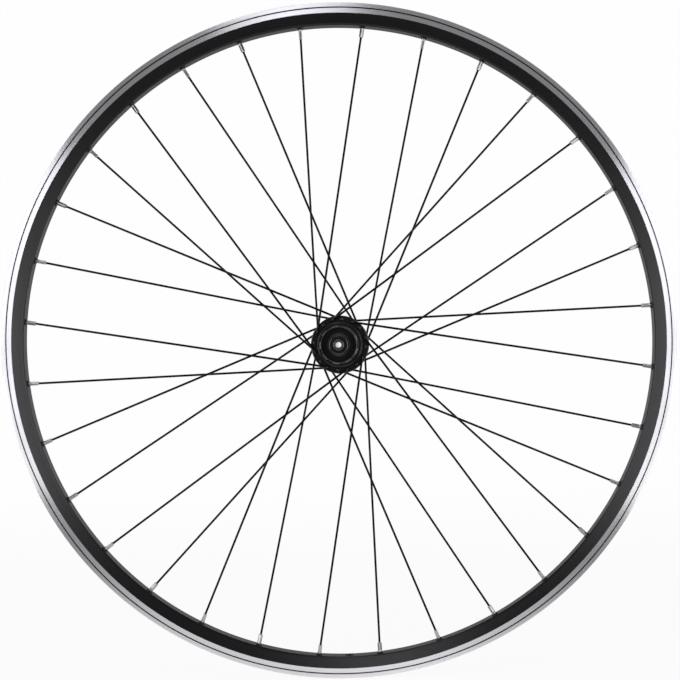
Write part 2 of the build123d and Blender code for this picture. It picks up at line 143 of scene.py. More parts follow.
@dataclass(frozen=True)
class Finish:
    """A surface finish: two tints and two roughnesses, mixed by a fine grain that also raises it."""

    name: str
    tint: Tint
    tint_low: Tint
    metallic: float
    roughness: Span
    grain: Grain = Grain.SPECKLED
    pitch_mm: float = 0.6
    relief: float = 0.1
    relief_mm: float = 0.02
    anisotropy: float = 0.0
    specular: float = 0.5

    def material(self) -> bpy.types.Material:
        """Return the finish's material, made the first time it is asked for.

        Returns:
            A node material whose grain follows the piece's own Object coordinates.
        """
        made = bpy.data.materials.get(self.name)
        if made:
            return made
        made = bpy.data.materials.new(self.name)
        graph = Graph(made)
        shader = graph.nodes["Principled BSDF"]
        place = graph.add("TexCoord").outputs["Object"]
        grain = self._grain(graph, place)
        cloud = graph.add("TexNoise", {"Vector": place, "Scale": 1 / (CLOUD_MM * MM), "Detail": 3.0})
        blend = graph.joined("MULTIPLY_ADD", cloud.outputs["Fac"], CLOUD_SHARE, grain)
        tints = {"A": (*self.tint_low, 1.0), "B": (*self.tint, 1.0)}
        colour = graph.add("Mix", {"Factor": blend, **tints}, data_type="RGBA")
        raised = {"Strength": self.relief, "Distance": self.relief_mm * MM, "Height": grain}
        graph.fill(shader, {
            "Base Color": colour.outputs["Result"],
            "Roughness": graph.spread(blend, BLEND_SPAN, self.roughness),
            "Normal": graph.add("Bump", raised).outputs["Normal"],
            "Metallic": self.metallic,
            "Specular IOR Level": self.specular,
        })
        if self.anisotropy:
            tangent = graph.add("Tangent", direction_type="RADIAL", axis="Y")
            graph.fill(shader, {
                "Tangent": tangent.outputs["Tangent"],
                "Anisotropic": self.anisotropy,
                "Anisotropic Rotation": HIGHLIGHT_TURN,
            })
        made.diffuse_color = (*self.tint, 1.0)
        return made

    def _grain(self, graph: Graph, place: Socket) -> Socket:
        """Add a noise that runs along the grain.

        Args:
            graph: The material's nodes.
            place: The piece's Object coordinates.

        Returns:
            The noise's factor. Rings are a noise of the distance from the axle and the place along it.
        """
        fine = {"Vector": place, "Scale": 1 / (self.pitch_mm * MM), "Detail": 2.0}
        if self.grain is Grain.SPECKLED:
            return graph.add("TexNoise", fine).outputs["Fac"]
        flat = graph.add("VectorMath", {0: place, 1: (1.0, 0.0, 1.0)}, operation="MULTIPLY")
        away = graph.add("VectorMath", {0: flat.outputs["Vector"]}, operation="LENGTH")
        split = graph.add("SeparateXYZ", {"Vector": place})
        rings = graph.add("CombineXYZ", {"X": away.outputs["Value"], "Y": split.outputs["Y"]})
        fine["Vector"] = rings.outputs["Vector"]
        return graph.add("TexNoise", fine, noise_dimensions="2D").outputs["Fac"]


BLACK_RIM = Finish(
    "black_anodised_rim", (0.004, 0.004, 0.005), (0.002, 0.002, 0.003), 0.0, (0.20, 0.30),
    pitch_mm=0.35, relief=0.12, specular=0.32,
)
BLACK_BED = Finish(
    "black_anodised_bed", (0.010, 0.010, 0.011), (0.006, 0.006, 0.007), 0.0, (0.42, 0.55),
    pitch_mm=0.35, relief=0.12, specular=0.11,
)
BRAKE_TRACK = Finish(
    "machined_brake_track", (0.88, 0.87, 0.90), (0.62, 0.62, 0.65), 1.0, (0.26, 0.31),
    grain=Grain.TURNED, pitch_mm=0.9, relief=0.36, relief_mm=0.04, anisotropy=1.0,
)
BLACK_WIRE = Finish(
    "black_spoke_coat", (0.005, 0.005, 0.006), (0.003, 0.003, 0.004), 0.0, (0.24, 0.34),
    pitch_mm=0.5, relief=0.08, specular=0.075,
)
# Glossier coat on the spokes' heads and elbows; its lighter tint is a painted highlight.
ELBOW_SHEEN_WIRE = Finish(
    "spoke_elbow_painted_highlight", (0.012, 0.012, 0.013), (0.008, 0.008, 0.009), 0.0, (0.16, 0.28),
    pitch_mm=0.5, relief=0.08, specular=0.4,
)
NICKEL = Finish(
    "nickel_plated_nipple", (0.43, 0.43, 0.44), (0.29, 0.29, 0.30), 1.0, (0.24, 0.36), pitch_mm=0.4,
)
# Eyelets darker than plain plating: partly a dark plate, partly painted shade at the nipples' feet.
EYELET_PLATE_AND_SHADE = Finish(
    "eyelet_plate_with_painted_shade", (0.03, 0.03, 0.032), (0.02, 0.02, 0.022), 1.0, (0.28, 0.40), pitch_mm=0.4,
)
BLACK_HUB = Finish(
    "black_anodised_hub", (0.007, 0.007, 0.008), (0.004, 0.004, 0.005), 0.0, (0.16, 0.26),
    grain=Grain.TURNED, pitch_mm=0.35, specular=0.31, anisotropy=0.3,
)
BLACK_OXIDE = Finish(
    "black_oxide_freehub", (0.007, 0.007, 0.008), (0.004, 0.004, 0.005), 0.0, (0.26, 0.38),
    pitch_mm=0.5, relief=0.12, relief_mm=0.03, specular=0.26,
)
DARK_CAP = Finish(
    "black_anodised_cap", (0.006, 0.006, 0.007), (0.004, 0.004, 0.005), 0.0, (0.20, 0.32),
    grain=Grain.TURNED, pitch_mm=0.3, relief=0.15, specular=0.28, anisotropy=0.3,
)
# Bare alloy of the stub ends, also used on the caps' face edges as a painted highlight.
DARK_STUB = Finish(
    "dark_stub_end", (0.115, 0.115, 0.12), (0.075, 0.075, 0.08), 1.0, (0.26, 0.38),
    grain=Grain.TURNED, pitch_mm=0.3, relief_mm=0.01, anisotropy=0.3,
)
# A lighter metal finish on the freehub's mouth edge and stop face: a painted highlight of the ring those
# edges catch.
HIGHLIT_EDGE = Finish(
    "spline_edge_painted_highlight", (0.14, 0.14, 0.15), (0.085, 0.085, 0.09), 1.0, (0.30, 0.42),
)
TURNED_ALLOY = Finish(
    "turned_axle_alloy", (0.40, 0.40, 0.42), (0.28, 0.28, 0.30), 1.0, (0.20, 0.30),
    grain=Grain.TURNED, pitch_mm=0.3, relief_mm=0.01, anisotropy=0.3,
)
REAMED_BORE = Finish(
    "reamed_axle_bore", (0.30, 0.30, 0.31), (0.24, 0.24, 0.25), 1.0, (0.12, 0.18),
    pitch_mm=0.3, relief=0.03, relief_mm=0.01,
)
GROUND_STEEL = Finish(
    "ground_bearing_steel", (0.56, 0.56, 0.58), (0.42, 0.42, 0.44), 1.0, (0.22, 0.34),
    grain=Grain.TURNED, pitch_mm=0.25, anisotropy=0.4,
)
SEAL_RUBBER = Finish(
    "black_seal_rubber", (0.075, 0.075, 0.078), (0.050, 0.050, 0.053), 0.0, (0.55, 0.72),
    pitch_mm=0.3, relief=0.2, relief_mm=0.03, specular=0.25,
)
CAP_PLASTIC = Finish(
    "moulded_dust_cap", (0.013, 0.013, 0.014), (0.008, 0.008, 0.009), 0.0, (0.42, 0.56),
    pitch_mm=0.4, relief=0.2, relief_mm=0.03, specular=0.4,
)


def unit(vector: np.ndarray) -> np.ndarray:
    """Return a vector's direction."""
    return vector / np.linalg.norm(vector)


def polar(radius: np.ndarray, angle: np.ndarray, along: np.ndarray) -> np.ndarray:
    """Return points round the axle: (r cos a, y, r sin a), with the angle a in radians from +X to +Z."""
    radius, angle, along = np.broadcast_arrays(radius, angle, along)
    return np.stack([radius * np.cos(angle), along, radius * np.sin(angle)], axis=-1)


def spun(points: np.ndarray, angles: np.ndarray) -> np.ndarray:
    """Turn a shape round the axle: (x cos a - z sin a, y, x sin a + z cos a).

    Args:
        points: The shape's points, with the coordinates in the last axis.
        angles: The angle a of each copy, in radians.

    Returns:
        The copies, stacked in front.
    """
    turn = np.asarray(angles).reshape(-1, *([1] * (points.ndim - 1)))
    x, y, z = points[..., 0][None], points[..., 1][None], points[..., 2][None]
    return np.stack(
        [x * np.cos(turn) - z * np.sin(turn), y + 0 * turn, x * np.sin(turn) + z * np.cos(turn)], axis=-1
    )


def eased(outline: Outline, radius: float | Sequence[float], steps: int = 3) -> np.ndarray:
    """Round the corners of an open outline.

    At a corner p the outline leaves its edges at A and B, a cut away from p, and follows the parabola
    (1-t)^2 A + 2t(1-t) p + t^2 B. A holding point just outside A and B keeps the flats flat.

    Args:
        outline: The corners, ends included.
        radius: The cut at each inner corner, held under half of its edges.
        steps: Points on each parabola.

    Returns:
        The rounded outline.
    """
    points = np.asarray(outline, float)
    corner = points[1:-1]
    back, ahead = points[:-2] - corner, points[2:] - corner
    back_run = np.linalg.norm(back, axis=1, keepdims=True)
    ahead_run = np.linalg.norm(ahead, axis=1, keepdims=True)
    wanted = np.broadcast_to(np.asarray(radius, float), len(corner))[:, None]
    cut = np.minimum(wanted, EDGE_SHARE * np.minimum(back_run, ahead_run))
    leave, join = (cut * back / back_run)[:, None], (cut * ahead / ahead_run)[:, None]
    t = np.linspace(0, 1, steps)[None, :, None]
    bend = (1 - t) ** 2 * leave + t**2 * join
    rows = np.concatenate([HOLD * leave, bend, HOLD * join], axis=1) + corner[:, None]
    return np.vstack([points[:1], rows.reshape(-1, 2), points[-1:]])


def looped(outline: Outline, radius: float | Sequence[float], steps: int = 3) -> np.ndarray:
    """Round all corners of a closed outline.

    Args:
        outline: The corners, once round.
        radius: The cut at each corner.
        steps: Points on each corner's parabola.

    Returns:
        The rounded outline, which starts and ends in the middle of its last edge.
    """
    points = np.asarray(outline, float)
    middle = (points[-1] + points[0]) / 2
    return eased(np.vstack([middle, points, middle]), radius, steps)


class Surface:
    """Grids of quads in millimetres, collected and joined into one mesh."""

    def __init__(self) -> None:
        """Start with no points."""
        self.points: list[np.ndarray] = []
        self.quads: list[np.ndarray] = []
        self.choices: list[np.ndarray] = []
        self.count = 0

    def grid(self, points: np.ndarray, ring: bool = True, finish: int | np.ndarray = 0) -> None:
        """Add one grid, or a stack of like grids.

        Args:
            points: Array of (rows, columns, 3), or (copies, rows, columns, 3).
            ring: Whether the last column joins the first.
            finish: Index of the finish, or an array of indices over (rows - 1, columns).
        """
        points = points.reshape(-1, *points.shape[-3:])
        index = np.arange(points[..., 0].size).reshape(points.shape[:-1]) + self.count
        if ring:
            index = np.concatenate([index, index[..., :1]], axis=-1)
        quads = np.stack(
            [index[:, :-1, :-1], index[:, 1:, :-1], index[:, 1:, 1:], index[:, :-1, 1:]], axis=-1
        )
        self.points.append(points.reshape(-1, 3))
        self.quads.append(quads.reshape(-1, 4))
        self.choices.append(np.broadcast_to(finish, quads.shape[:-1]).reshape(-1))
        self.count += points[..., 0].size

    def turned(self, outline: np.ndarray, segments: int, finish: int | np.ndarray = 0) -> None:
        """Turn an outline of (radius, along) points round the axle: P = (r cos a, y, r sin a)."""
        angle = 2 * np.pi * np.arange(segments)[None] / segments
        self.grid(polar(outline[:, :1], angle, outline[:, 1:]), finish=finish)

    def built(self, name: str, finishes: Sequence[Finish], sharp: float = 46.0) -> bpy.types.Object:
        """Join the grids into an object at the origin, with its place in its mesh.

        Args:
            name: The object's name.
            finishes: The finishes, in the order of their indices.
            sharp: Edges with a larger angle than this, in degrees, stay sharp.

        Returns:
            The new object.
        """
        mesh = bpy.data.meshes.new(name)
        mesh.from_pydata(np.vstack(self.points) * MM, [], np.vstack(self.quads))
        mesh.polygons.foreach_set("material_index", np.concatenate(self.choices).astype(np.int32))
        work = bmesh.new()
        work.from_mesh(mesh)
        bmesh.ops.remove_doubles(work, verts=work.verts, dist=WELD_MM * MM)
        bmesh.ops.dissolve_degenerate(work, edges=work.edges, dist=SLIVER_MM * MM)
        bmesh.ops.recalc_face_normals(work, faces=work.faces)
        work.to_mesh(mesh)
        work.free()
        mesh.shade_smooth()
        mesh.set_sharp_from_angle(angle=np.radians(sharp))
        for finish in finishes:
            mesh.materials.append(finish.material())
        piece = bpy.data.objects.new(name, mesh)
        bpy.context.scene.collection.objects.link(piece)
        return piece


def dressed(piece: bpy.types.Object, body: Body, slot: str, *nodes: str) -> None:
    """Let a piece ride on its body in place of its nodes, and report it.

    Args:
        piece: The new piece.
        body: The body that carries it.
        slot: The record's material slot; not used.
        nodes: The nodes that it stands for.
    """
    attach(piece, body.value)
    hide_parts(*nodes)
    LOG.info("%s: %d faces, for %s", piece.name, len(piece.data.polygons), ", ".join(nodes))


def refinish(finish: Finish, *nodes: str) -> None:
    """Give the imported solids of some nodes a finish, and report them.

    Args:
        finish: The finish.
        nodes: The nodes, which keep their solids.
    """
    for node in nodes:
        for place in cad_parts[node].material_slots:
            place.material = finish.material()
        LOG.info("%s: keeps its solid, finish %s", node, finish.name)


@dataclass
class Cells:
    """A band or disc round the axle, cut into equal cells that may each have one round hole."""

    half_angle: float
    low: float
    high: float
    radius_at: Callable[[np.ndarray], np.ndarray]
    along_at: Callable[[np.ndarray], np.ndarray]
    round_steps: int = 6
    across_steps: int = 6
    row_shares: tuple[float, ...] = (0.0, 0.05, 0.3, 1.0)

    def placed(self, angle: np.ndarray, across: np.ndarray) -> np.ndarray:
        """Return the points at some angles and places across the band."""
        return polar(self.radius_at(across), angle, self.along_at(across))

    def pierced(self, centres: np.ndarray, hole: float, middle: float) -> np.ndarray:
        """Return grids between each cell's edge and its hole.

        The edge is walked once round. The hole's point in the same direction t is h (cos t / r, sin t) from
        its centre, and the rows between run straight from the hole to the edge.

        Args:
            centres: The cells' middle angles.
            hole: The holes' radius.
            middle: The place of the holes' centres across the band.

        Returns:
            Array of (cells, rows, columns, 3), with the hole in the first row.
        """
        n, m, a = self.round_steps, self.across_steps, self.half_angle
        go = np.linspace(-a, a, n + 1)
        rise = np.linspace(self.low, self.high, m + 1)
        turn = np.concatenate([go[:-1], np.full(m, a), go[:0:-1], np.full(m, -a)])
        across = np.concatenate([np.full(n, self.low), rise[:-1], np.full(n, self.high), rise[:0:-1]])
        way = np.arctan2((across - middle) / (self.high - self.low) * 2, turn / a)
        hole_across = middle + hole * np.sin(way)
        hole_turn = hole * np.cos(way) / self.radius_at(hole_across)
        share = np.array(self.row_shares)[:, None]
        turn = hole_turn + share * (turn - hole_turn)
        across = hole_across + share * (across - hole_across)
        return self.placed(np.asarray(centres)[:, None, None] + turn, across[None])

    def plain(self, centres: np.ndarray) -> np.ndarray:
        """Return whole grids for cells without a hole: angle along the rows, place across down the columns.

        Args:
            centres: The cells' middle angles.

        Returns:
            Array of (cells, rows, columns, 3).
        """
        go = np.linspace(-self.half_angle, self.half_angle, self.round_steps + 1)
        rise = np.linspace(self.low, self.high, self.across_steps + 1)
        return self.placed(np.asarray(centres)[:, None, None] + go[None, None], rise[None, :, None])


@dataclass
class Rim:
    """Hooked double-wall rim with machined brake tracks, pierced for nipples, their heads and the valve."""

    bed: float = 297.4
    bed_half: float = 5.8
    bed_band: float = 5.2
    bed_chamfer: float = 1.4
    bed_wall: float = 2.0
    bed_margin: float = 0.1
    crown: float = -0.15
    crown_shares: tuple[float, ...] = (0.2, 0.5, 0.8)
    half_width: float = 12.0
    track_foot: float = 307.4
    track_face: float = 11.8
    track_margin: float = 0.02
    wear_line: float = 312.4
    wear_half: float = 0.6
    wear_depth: float = 0.4
    outer: float = 316.9
    edge_chamfer: float = 0.6
    bare_chamfer: float = 0.8
    hook_face: float = 9.5
    hook_foot: float = 314.4
    bead_wall: float = 10.2
    bead_seat: float = 311.0
    bead_fall: float = 0.4
    bead_edge: float = 7.0
    side_cuts: tuple[float, ...] = (
        0.9, 1.0, 1.0, 1.0, 1.0, 0.12, 0.05, 0.06, 0.08, 0.06, 0.25, 0.25, 0.5, 0.6, 0.7,
    )
    well: float = 308.4
    well_half: float = 4.3
    bridge: float = 1.3
    cavity_half: float = 5.82
    cavity_side: float = 10.3
    cavity_cut: float = 0.4
    nipple_hole: float = 2.6
    access_hole: float = 4.5
    valve_hole: float = 4.25
    valve_angle: float = 270.0
    spokes: int = 32
    segments: int = 384

    def side_outline(self) -> np.ndarray:
        """Return the outside of one half of the section, from the bed over the track to the bead seat.

        The side wall from f to g is crowned: f + t (g - f) + 4 c t (1 - t) n, with normal n and crown c.

        Returns:
            The rounded outline of (radius, along) points.
        """
        foot = np.array([self.bed + self.bed_chamfer, self.bed_half + self.bed_chamfer])
        wall = np.array([self.track_foot, self.half_width]) - foot
        share = np.array(self.crown_shares)[:, None]
        normal = np.array([-wall[1], wall[0]]) / np.hypot(*wall)
        return eased([
            (self.bed, self.bed_band),
            (self.bed, self.bed_half),
            foot,
            *(foot + share * wall + 4 * self.crown * share * (1 - share) * normal),
            (self.track_foot, self.half_width),
            (self.track_foot, self.track_face),
            (self.wear_line - self.wear_half, self.track_face),
            (self.wear_line, self.track_face - self.wear_depth),
            (self.wear_line + self.wear_half, self.track_face),
            (self.outer - self.edge_chamfer, self.track_face),
            (self.outer, self.track_face - self.edge_chamfer),
            (self.outer, self.hook_face),
            (self.hook_foot, self.hook_face),
            (self.bead_seat, self.bead_wall),
            (self.bead_seat - self.bead_fall, self.bead_edge),
        ], self.side_cuts)

    def cavity_outline(self) -> np.ndarray:
        """Return one side wall of the closed chamber between bed and bridge.

        Returns:
            The rounded outline of (radius, along) points.
        """
        shelf = self.bead_seat - self.bead_fall - self.bridge
        floor = self.bed + self.bed_wall
        return eased([
            (floor, self.bed_band), (floor, self.cavity_half),
            (shelf, self.cavity_side), (shelf, self.bead_edge),
        ], self.cavity_cut)

    def bands(self) -> dict[str, Cells]:
        """Return the pierced bands.

        Returns:
            The bed's and the bridge's outer faces and their backs.
        """
        half = np.pi / (2 * self.spokes)

        def band(width: float, low: float, high: float) -> Cells:
            """Return a band that stands at one radius in its middle and another at its edges."""
            reach = lambda across: np.interp(np.abs(across), [self.well_half, self.bead_edge], [low, high])
            return Cells(half, -width, width, reach, lambda across: across)

        seat = self.bead_seat - self.bead_fall
        return {
            "bed": band(self.bed_band, self.bed, self.bed),
            "bed_back": band(self.bed_band, self.bed + self.bed_wall, self.bed + self.bed_wall),
            "bridge": band(self.bead_edge, self.well, seat),
            "bridge_back": band(self.bead_edge, self.well - self.bridge, seat - self.bridge),
        }

    def strip_parts(self, outline: np.ndarray) -> np.ndarray:
        """Tell the strips of the side apart. The wear line is as black as the wall.

        Args:
            outline: The side's outline.

        Returns:
            A column with each strip's RimPart.
        """
        radius, across = (outline[1:] + outline[:-1]).T / 2
        track = radius > self.track_foot + self.track_margin
        track &= across > self.track_face - self.bare_chamfer * self.edge_chamfer
        track &= np.abs(radius - self.wear_line) > self.wear_half
        bed = radius < self.bed + self.bed_margin
        return np.where(track, RimPart.TRACK, np.where(bed, RimPart.BED, RimPart.WALL))[:, None]

    def build(self) -> None:
        """Join sides, chamber, bands and hole walls, and dress the rim."""
        surface = Surface()
        outline, cavity = self.side_outline(), self.cavity_outline()
        for side in (-1.0, 1.0):
            surface.turned(outline * [1.0, side], self.segments, self.strip_parts(outline))
            surface.turned(cavity * [1.0, side], self.segments)
        pitch = 360 / self.spokes
        valve = np.radians([self.valve_angle])
        spokes = np.radians(self.valve_angle + (np.arange(self.spokes) + 0.5) * pitch)
        between = np.radians(self.valve_angle + np.arange(1, self.spokes) * pitch)
        bands = self.bands()
        for names, spoke_hole, part in (
            (("bed", "bed_back"), self.nipple_hole, RimPart.BED),
            (("bridge", "bridge_back"), self.access_hole, RimPart.WALL),
        ):
            for centres, hole, wall in (
                (spokes, spoke_hole, RimPart.WALL), (valve, self.valve_hole, RimPart.VALVE_HOLE),
            ):
                faces = [bands[name].pierced(centres, hole, 0.0) for name in names]
                for face in faces:
                    surface.grid(face, finish=part)
                surface.grid(np.stack([face[:, 0] for face in faces], axis=1), finish=wall)
            for name in names:
                surface.grid(bands[name].plain(between), ring=False, finish=part)
        piece = surface.built("rim_hoop", [BLACK_RIM, BRAKE_TRACK, BLACK_BED, TURNED_ALLOY])
        dressed(piece, Body.WHEEL, "rim_alloy", "rim")


@dataclass
class Lacing:
    """Crossed wire spokes with their nipples and the eyelets in the rim."""

    spokes: int = 32
    crosses: int = 3
    valve_angle: float = 270.0
    hole_circle: float = 23.52
    right_flange: float = -19.5
    left_flange: float = 35.5
    flange_half: float = 1.6
    pivot: float = 298.4
    bed: float = 297.4
    wire: float = 1.03
    wire_sides: int = 14
    crossing_offset: float = 1.05
    kink: float = 60.0
    elbow_rise: float = 2.4
    elbow: float = 2.1
    arc_steps: tuple[int, int] = (9, 4)
    head_radius: float = 1.8
    head_height: float = 1.5
    dome_share: float = 0.75
    dome_steps: int = 6
    head_foot: tuple[Span, ...] = ((0.12, 0.94), (0.0, 0.6))
    # Rows from the head round the elbow that take the glossier coat with the painted highlight.
    highlit_rows: int = 17
    thread: float = 9.5
    tip: float = 0.3
    tip_share: float = 0.75
    nipple_end: float = -10.8
    nipple_seat: float = 1.5
    nipple_head: float = 2.2
    nipple_turn: float = 137.5
    eyelet_bore: float = 2.25
    eyelet_neck: float = 2.58
    eyelet_radius: float = 3.6
    eyelet_height: float = 1.2
    eyelet_sleeve: float = 1.6
    eyelet_gap: float = 0.06
    fitting_sides: int = 24
    order: tuple[SpokeKind, ...] = (
        (1, 1, True), (-1, -1, False), (1, -1, False), (-1, 1, True),
    )

    def rim_angles(self) -> np.ndarray:
        """Return the angles of the rim's nipple holes, in radians, from the first after the valve."""
        pitch = 360 / self.spokes
        return np.radians(self.valve_angle + (np.arange(self.spokes) + 0.5) * pitch)

    def route(self, side: int, lean: int, outside: bool) -> np.ndarray:
        """Return a spoke's bends for a rim hole at angle 0.

        Args:
            side: -1 for the drive side's flange, 1 for the left one.
            lean: 1 where the spoke pulls the wheel round, -1 the other way.
            outside: Whether it leaves on the flange's outer face.

        Returns:
            Seat, elbow, outermost crossing and pivot.
        """
        pitch = 2 * np.pi / self.spokes
        hub = polar(self.hole_circle, lean * self.crosses * 2 * pitch, 0.0)
        run = polar(self.pivot, 0.0, 0.0) - hub
        across = np.cross(polar(1.0, lean * pitch, 0.0), AXLE_LINE)
        reach = -(hub @ across) / (run @ across)
        flange = self.right_flange if side < 0 else self.left_flange
        out = side if outside else -side
        seat = hub + AXLE_LINE * (flange - out * self.flange_half)
        elbow = hub + AXLE_LINE * (flange + out * (self.flange_half + self.elbow_rise))
        passing = flange * (1 - reach) - out * self.crossing_offset
        return np.array([seat, elbow, hub + run * reach + AXLE_LINE * passing, hub + run])

    def bent(self, bends: np.ndarray, radii: Sequence[float], steps: Sequence[int]) -> np.ndarray:
        """Return a flat path through some bends, each rounded by an arc: c + r (u cos t + v sin t).

        Args:
            bends: The path's corners, ends included.
            radii: The arc's radius at each inner corner.
            steps: The points on each arc.

        Returns:
            The path's points.
        """
        path = [bends[:1]]
        for i, (radius, count) in enumerate(zip(radii, steps), start=1):
            back, ahead = unit(bends[i - 1] - bends[i]), unit(bends[i + 1] - bends[i])
            half = np.arccos(np.clip(back @ ahead, -1, 1)) / 2
            centre = bends[i] + unit(back + ahead) * radius / np.sin(half)
            first = bends[i] + back * radius / np.tan(half) - centre
            second = -back * radius
            t = np.linspace(0, np.pi - 2 * half, count)[:, None]
            path.append(centre + first * np.cos(t) + second * np.sin(t))
        return np.vstack([*path, bends[-1:]])

    def wire_grid(self, kind: SpokeKind) -> np.ndarray:
        """Carry circles of the wire's radius along a spoke's path, with a domed head.

        P = path + r (n cos t + b sin t), where n is the path's plane normal and b = tangent x n.

        Args:
            kind: The spoke's side, lean and face, as for route.

        Returns:
            The grid for a rim hole at angle 0.
        """
        seat, elbow, crossing, pivot = self.route(*kind)
        pull, down = unit(pivot - crossing), unit(elbow - seat)
        end = pivot + pull * (self.nipple_end + self.thread)
        path = self.bent(np.array([seat, elbow, crossing, end]), (self.elbow, self.kink), self.arc_steps)
        dome, foot = np.radians(np.linspace(90, 0, self.dome_steps)), np.array(self.head_foot)
        rise = self.head_height * (1 - self.dome_share + self.dome_share * np.sin(dome))
        swell = self.head_radius * np.concatenate([np.cos(dome), foot[:, 1]])
        head = seat - down * np.concatenate([rise, foot[:, 0]])[:, None]
        tail = end + pull * np.array([[-self.tip], [0.0], [0.0]])
        path = np.vstack([head, path[:-1], tail])
        wire = np.full(len(path), self.wire)
        wire[: len(swell)] = swell
        wire[-2:] = self.tip_share * self.wire, 0.0
        tangent = np.gradient(path, axis=0)
        tangent[: len(swell)] = down
        tangent[-4:] = pull
        tangent /= np.linalg.norm(tangent, axis=1, keepdims=True)
        normal = unit(np.cross(down, pull))
        t = 2 * np.pi * np.arange(self.wire_sides)[None, :, None] / self.wire_sides
        ring = normal * np.cos(t) + np.cross(tangent, normal)[:, None] * np.sin(t)
        return path[:, None] + wire[:, None, None] * ring

    def nipple_grid(self, kind: SpokeKind, turn: float) -> np.ndarray:
        """Carry a superellipse of changing half width w and power n along a nipple.

        P = axis + w (sgn c |c|^(2/n), sgn s |s|^(2/n)), with n 2 where it is round and 6 on the flats.

        Args:
            kind: The spoke's kind, as for wire_grid.
            turn: How far the nipple is screwed round, in radians.

        Returns:
            The grid for a rim hole at angle 0.
        """
        crossing, pivot = self.route(*kind)[2:]
        out = unit(pivot - crossing)
        side = unit(np.cross(out, AXLE_LINE))
        side = side * np.cos(turn) + np.cross(out, side) * np.sin(turn)
        end, seat, top = self.nipple_end, self.nipple_seat, self.nipple_seat + self.nipple_head
        # Place along the spoke, half width and power: bore, square shank, neck and domed head.
        rows = np.array([
            (-1.0, 0.0, 2), (-1.0, 1.04, 2), (end + 0.1, 1.04, 2), (end, 1.1, 2),
            (end, 1.38, 2.6), (end + 0.12, 1.52, 3.2), (end + 0.45, 1.62, 5), (end + 1.0, 1.65, 6),
            (-4.4, 1.65, 6), (-3.7, 1.68, 4.5), (-3.1, 1.86, 2.6), (-2.7, 1.96, 2.1), (-2.3, 2.0, 2),
            (seat - 0.2, 2.0, 2), (seat, 2.3, 2), (seat + 0.5, 2.9, 2), (seat + 0.9, 3.0, 2),
            (seat + 1.5, 2.8, 2), (seat + 2.0, 2.1, 2), (top, 1.2, 2), (top, 0.0, 2),
        ])
        t = 2 * np.pi * (np.arange(self.fitting_sides) + 0.5)[None] / self.fitting_sides
        c, s = np.cos(t), np.sin(t)
        along, half, power = rows[:, None, :1], rows[:, 1:2], 2 / rows[:, 2:3]
        wide = half * np.sign(c) * np.abs(c) ** power
        deep = half * np.sign(s) * np.abs(s) ** power
        return pivot + along * out + wide[..., None] * side + deep[..., None] * np.cross(out, side)

    def eyelet_grid(self) -> np.ndarray:
        """Turn an eyelet's outline, a flared lip and a short sleeve, about its hole at angle 0.

        P = (r, w cos t, w sin t), for each point of the outline at width w and distance r from the axle.

        Returns:
            The grid.
        """
        bore, neck, back = self.eyelet_bore, self.eyelet_neck, self.bed - self.eyelet_gap
        lip, sleeve = self.bed - self.eyelet_height, self.bed + self.eyelet_sleeve
        outline = looped(
            [(bore, sleeve), (bore, lip + 0.2), (bore + 0.5, lip), (bore + 0.9, lip + 0.25),
             (self.eyelet_radius, back), (neck, back), (neck, sleeve)],
            [0.1, 0.2, 0.3, 0.3, 0.1, 0.05, 0.1],
        )
        t = 2 * np.pi * np.arange(self.fitting_sides)[None] / self.fitting_sides
        wide, far = outline[:, :1], outline[:, 1:] + 0 * t
        return np.stack([far, wide * np.cos(t), wide * np.sin(t)], axis=-1)

    def build(self) -> None:
        """Build and dress spokes, nipples and eyelets."""
        angles, kinds = self.rim_angles(), len(self.order)
        nipples, eyelets = Surface(), Surface()
        for k, kind in enumerate(self.order):
            wires = spun(self.wire_grid(kind), angles[k::kinds])
            # The head and elbow rows take the second finish, whose lighter tint is a painted highlight.
            highlit = np.where(np.arange(wires.shape[1] - 1) < self.highlit_rows, 1, 0)
            for j, wire in enumerate(wires):
                surface = Surface()
                surface.grid(wire, finish=highlit[:, None])
                number = j * kinds + k + 1
                piece = surface.built(f"wire_{number:02d}", [BLACK_WIRE, ELBOW_SHEEN_WIRE])
                dressed(piece, Body.WHEEL, "spoke_steel", f"spoke_{number:02d}")
                nipple = self.nipple_grid(kind, np.radians(number * self.nipple_turn))
                nipples.grid(spun(nipple, angles[number - 1 : number]))
        eyelets.grid(spun(self.eyelet_grid(), angles))
        dressed(nipples.built("nipple_set", [NICKEL]), Body.WHEEL, "nipple_brass", "nipples")
        dressed(eyelets.built("eyelet_set", [EYELET_PLATE_AND_SHADE]), Body.WHEEL, "eyelet_steel", "eyelets")


